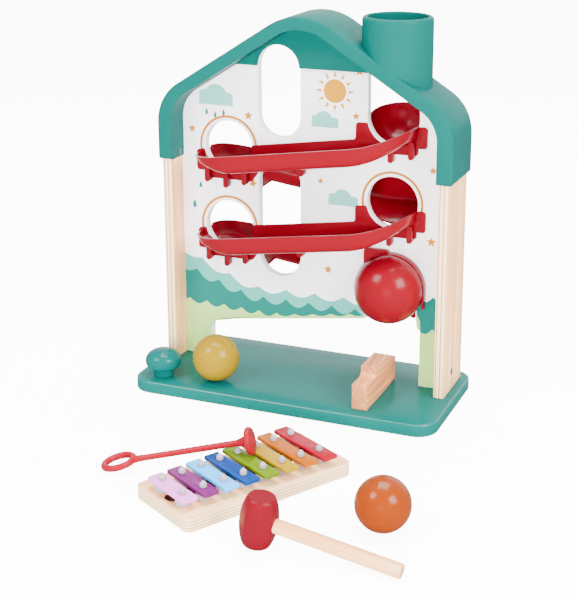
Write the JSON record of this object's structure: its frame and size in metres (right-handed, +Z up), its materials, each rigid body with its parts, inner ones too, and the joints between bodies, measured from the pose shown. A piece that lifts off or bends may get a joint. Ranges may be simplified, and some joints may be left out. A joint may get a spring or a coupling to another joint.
{
  "type": "toy ball run house",
  "caption": "Toy house ball run: a chimney feeds sloping red troughs on both sides of a printed panel over a teal base, with a xylophone, mallet, hammer and balls.",
  "frame": {"origin": "centre of the house's base board, on its underside", "axes": "+X to the right along the base, +Y from the front to the back, +Z up"},
  "size_m": [0.3531, 0.386, 0.3635],
  "materials": {
    "teal_paint": "satin paint on board",
    "birch_plywood": "clear matt lacquer",
    "printed_panel": "printed in matt colours on white",
    "teal_plastic": "satin moulding",
    "red_plastic": "glossy moulding",
    "beech": "clear matt lacquer",
    "teal_lacquer": "gloss lacquer",
    "yellow_paint": "gloss paint",
    "orange_paint": "gloss paint",
    "red_paint": "gloss paint",
    "pale_dowel": "clear matt lacquer",
    "grey_plastic": "satin moulding",
    "screw_steel": "zinc plated",
    "bar_lavender": "gloss paint on steel",
    "bar_purple": "gloss paint on steel",
    "bar_sky": "gloss paint on steel",
    "bar_blue": "gloss paint on steel",
    "bar_lime": "gloss paint on steel",
    "bar_yellow": "gloss paint on steel",
    "bar_orange": "gloss paint on steel",
    "bar_red": "gloss paint on steel"
  },
  "bodies": {
    "house": {"base_board": "teal_paint", "block_front_screw": "screw_steel", "block_rear_screw": "screw_steel", "display_panel": "printed_panel", "exit_hood": "red_plastic", "knob_screw": "screw_steel", "left_panel_screw": "screw_steel", "left_post": "birch_plywood", "left_post_front_screw": "screw_steel", "left_post_rear_screw": "screw_steel", "left_roof_screw": "screw_steel", "lower_back_track": "red_plastic", "lower_front_track": "red_plastic", "mushroom_knob": "teal_lacquer", "right_panel_screw": "screw_steel", "right_post": "birch_plywood", "right_post_front_screw": "screw_steel", "right_post_rear_screw": "screw_steel", "right_roof_screw": "screw_steel", "roof_canopy": "teal_plastic", "stepped_block": "beech", "top_scoop": "red_plastic", "upper_back_track": "red_plastic", "upper_front_track": "red_plastic"},
    "xylophone": {"bar_blue": "bar_blue", "bar_lavender": "bar_lavender", "bar_lime": "bar_lime", "bar_orange": "bar_orange", "bar_purple": "bar_purple", "bar_red": "bar_red", "bar_sky": "bar_sky", "bar_yellow": "bar_yellow", "stud_blue_far": "grey_plastic", "stud_blue_near": "grey_plastic", "stud_lavender_far": "grey_plastic", "stud_lavender_near": "grey_plastic", "stud_lime_far": "grey_plastic", "stud_lime_near": "grey_plastic", "stud_orange_far": "grey_plastic", "stud_orange_near": "grey_plastic", "stud_purple_far": "grey_plastic", "stud_purple_near": "grey_plastic", "stud_red_far": "grey_plastic", "stud_red_near": "grey_plastic", "stud_sky_far": "grey_plastic", "stud_sky_near": "grey_plastic", "stud_yellow_far": "grey_plastic", "stud_yellow_near": "grey_plastic", "xylophone_board": "birch_plywood"},
    "mallet": {"mallet": "red_plastic"},
    "hammer": {"hammer_head": "red_paint", "hammer_handle": "pale_dowel"},
    "yellow_ball": {"yellow_ball": "yellow_paint"},
    "orange_ball": {"orange_ball": "orange_paint"}
  },
  "joints": [
    {"name": "xylophone_lift", "type": "slide", "parent": "house", "child": "xylophone", "axis": [0, 0, 1], "range_m": [0, 0.12]},
    {"name": "mallet_lift", "type": "slide", "parent": "xylophone", "child": "mallet", "axis": [0, 0, 1], "range_m": [0, 0.1]},
    {"name": "hammer_lift", "type": "slide", "parent": "house", "child": "hammer", "axis": [0, 0, 1], "range_m": [0, 0.15]},
    {"name": "yellow_ball_roll", "type": "slide", "parent": "house", "child": "yellow_ball", "axis": [1, 0, 0], "range_m": [-0.01, 0.11]},
    {"name": "orange_ball_roll", "type": "slide", "parent": "house", "child": "orange_ball", "axis": [1, 0, 0], "range_m": [0, 0.12]}
  ]
}
